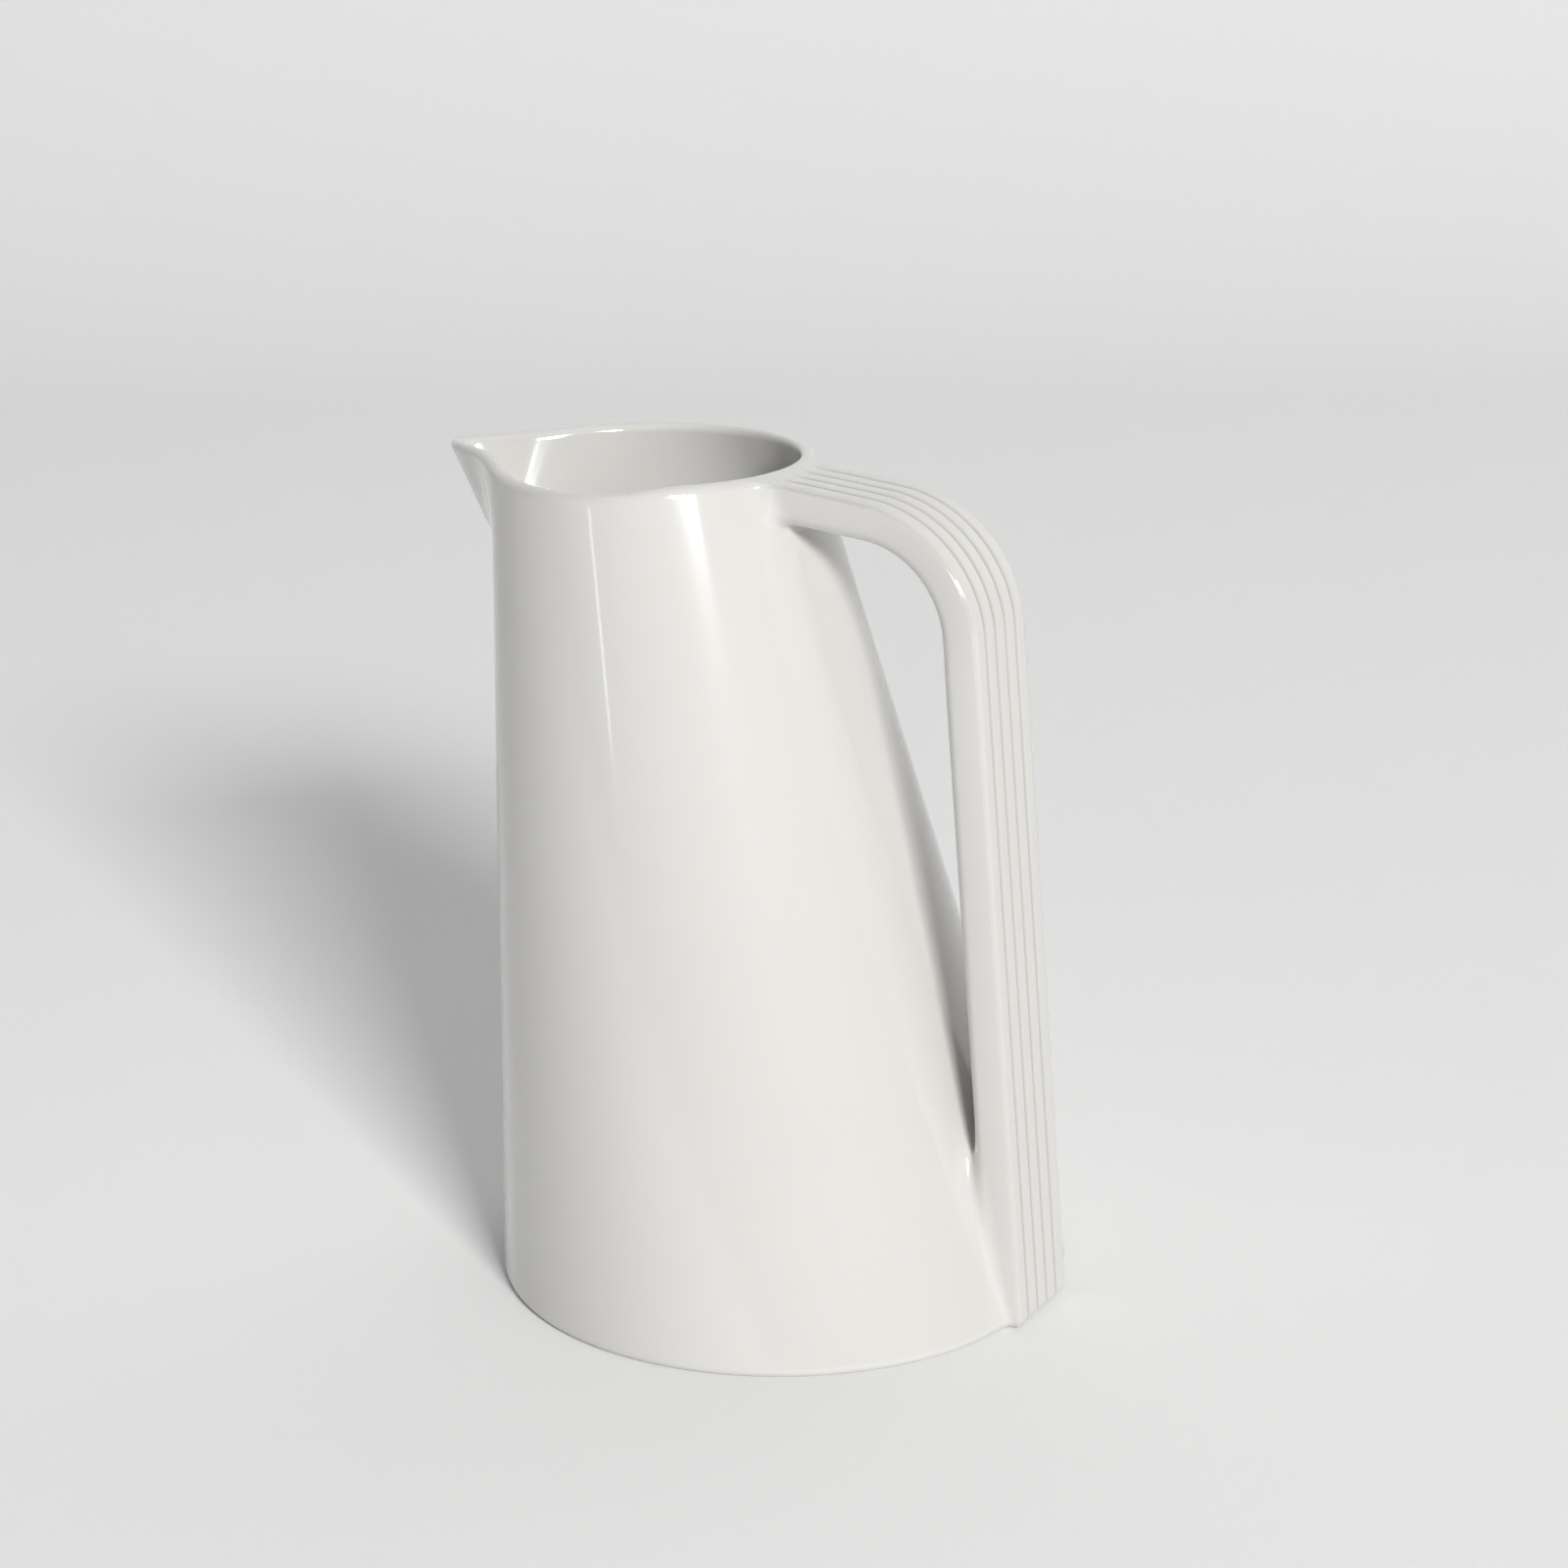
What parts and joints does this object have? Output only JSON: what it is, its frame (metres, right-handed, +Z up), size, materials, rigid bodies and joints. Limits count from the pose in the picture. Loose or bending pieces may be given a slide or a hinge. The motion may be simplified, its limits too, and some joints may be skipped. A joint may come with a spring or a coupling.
{
  "type": "ceramic pitcher",
  "caption": "Glazed ceramic pitcher with a leaning conical body, a pinched pouring spout and a ribbed strap handle that runs down to the base.",
  "frame": {"origin": "centre of the round base, on the surface the pitcher stands on", "axes": "+Z up, spout along -X, handle along +X"},
  "size_m": [0.1798, 0.1532, 0.22],
  "materials": {
    "glaze": "glossy off-white glaze",
    "bare_clay": "matt unglazed fired clay"
  },
  "bodies": {
    "root": {"body_wall": "glaze", "base_floor": "bare_clay", "spout": "glaze", "handle": "glaze", "upper_handle_joint": "glaze", "lower_handle_joint": "glaze"}
  },
  "joints": []
}
